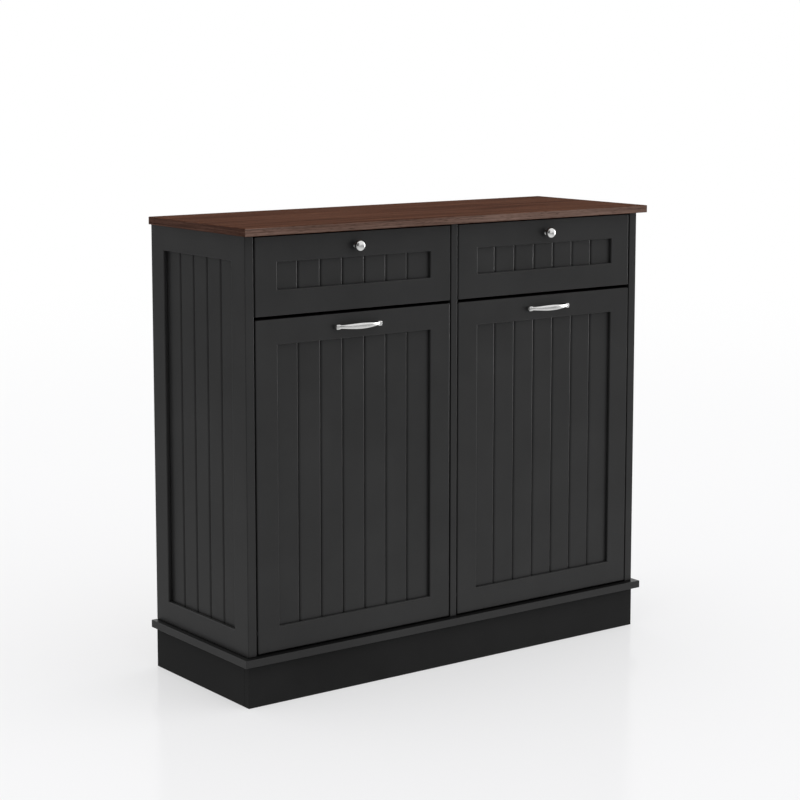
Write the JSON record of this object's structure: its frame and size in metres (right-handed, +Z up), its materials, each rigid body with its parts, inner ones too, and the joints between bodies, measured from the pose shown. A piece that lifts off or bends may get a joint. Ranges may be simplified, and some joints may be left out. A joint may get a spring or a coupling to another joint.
{
  "type": "kitchen cabinet",
  "caption": "Free-standing kitchen cabinet with panelled drawers above tilt-out doors that carry bin cradles.",
  "frame": {"origin": "bottom centre of the whole object's box, on the floor", "axes": "+X to the right as seen from the front, +Y from the front to the back, +Z up"},
  "size_m": [0.99, 0.362, 0.9],
  "materials": {
    "case_paint": "satin black paint on MDF",
    "front_paint": "satin black paint on MDF",
    "worktop_veneer": "dark walnut veneer, satin lacquer",
    "raw_timber": "planed pine, unfinished",
    "birch_ply": "birch plywood, clear lacquer",
    "hardboard": "smooth hardboard",
    "beech": "fluted beech dowels",
    "zinc_steel": "bright zinc plate",
    "polished_chrome": "polished chrome plate",
    "bush_nylon": "moulded natural nylon",
    "bumper_rubber": "moulded black rubber"
  },
  "bodies": {
    "case": {"worktop": "worktop_veneer", "base_board": "case_paint", "plinth_front": "case_paint", "plinth_left": "case_paint", "plinth_right": "case_paint", "plinth_back": "case_paint", "plinth_corner_blocks": "raw_timber", "left_side_frame": "case_paint", "right_side_frame": "case_paint", "left_side_bead_panel": "case_paint", "right_side_bead_panel": "case_paint", "centre_divider": "case_paint", "back_panel": "hardboard", "mid_rails": "raw_timber", "rear_top_rail": "raw_timber", "left_drawer_outer_slides": "zinc_steel", "right_drawer_outer_slides": "zinc_steel", "pivot_pins": "zinc_steel", "stop_pins": "zinc_steel", "door_bumpers": "bumper_rubber", "case_screws": "zinc_steel", "case_dowels": "beech"},
    "left_drawer": {"left_drawer_front_frame": "front_paint", "left_drawer_bead_panel": "front_paint", "left_drawer_left_side": "birch_ply", "left_drawer_right_side": "birch_ply", "left_drawer_back": "birch_ply", "left_drawer_bottom": "hardboard", "left_drawer_inner_slides": "zinc_steel", "left_drawer_knob": "polished_chrome", "left_drawer_fixings": "zinc_steel"},
    "left_retainers": {"left_drawer_ball_retainers": "zinc_steel"},
    "left_door": {"left_door_frame": "front_paint", "left_door_bead_panel": "front_paint", "left_door_pull": "polished_chrome", "left_door_pivot_bushes": "bush_nylon", "left_door_fixings": "zinc_steel", "left_cradle_left_side": "birch_ply", "left_cradle_right_side": "birch_ply", "left_cradle_shelf": "birch_ply", "left_cradle_back_rail": "birch_ply"},
    "right_drawer": {"right_drawer_front_frame": "front_paint", "right_drawer_bead_panel": "front_paint", "right_drawer_left_side": "birch_ply", "right_drawer_right_side": "birch_ply", "right_drawer_back": "birch_ply", "right_drawer_bottom": "hardboard", "right_drawer_inner_slides": "zinc_steel", "right_drawer_knob": "polished_chrome", "right_drawer_fixings": "zinc_steel"},
    "right_retainers": {"right_drawer_ball_retainers": "zinc_steel"},
    "right_door": {"right_door_frame": "front_paint", "right_door_bead_panel": "front_paint", "right_door_pull": "polished_chrome", "right_door_pivot_bushes": "bush_nylon", "right_door_fixings": "zinc_steel", "right_cradle_left_side": "birch_ply", "right_cradle_right_side": "birch_ply", "right_cradle_shelf": "birch_ply", "right_cradle_back_rail": "birch_ply"}
  },
  "joints": [
    {"name": "left_drawer_slide", "type": "slide", "parent": "case", "child": "left_drawer", "axis": [0, -1, 0], "range_m": [0, 0.21]},
    {"name": "left_retainer_slide", "type": "slide", "parent": "case", "child": "left_retainers", "axis": [0, -1, 0], "range_m": [0, 0.105]},
    {"name": "left_door_tilt", "type": "hinge", "parent": "case", "child": "left_door", "pos_m": [-0.2355, -0.149, 0.14], "axis": [1, 0, 0], "range_deg": [0, 35]},
    {"name": "right_drawer_slide", "type": "slide", "parent": "case", "child": "right_drawer", "axis": [0, -1, 0], "range_m": [0, 0.21]},
    {"name": "right_retainer_slide", "type": "slide", "parent": "case", "child": "right_retainers", "axis": [0, -1, 0], "range_m": [0, 0.105]},
    {"name": "right_door_tilt", "type": "hinge", "parent": "case", "child": "right_door", "pos_m": [0.2355, -0.149, 0.14], "axis": [1, 0, 0], "range_deg": [0, 35]}
  ],
  "couplings": [
    {"joint": "left_retainer_slide", "follows": "left_drawer_slide", "ratio": 0.5},
    {"joint": "right_retainer_slide", "follows": "right_drawer_slide", "ratio": 0.5}
  ]
}
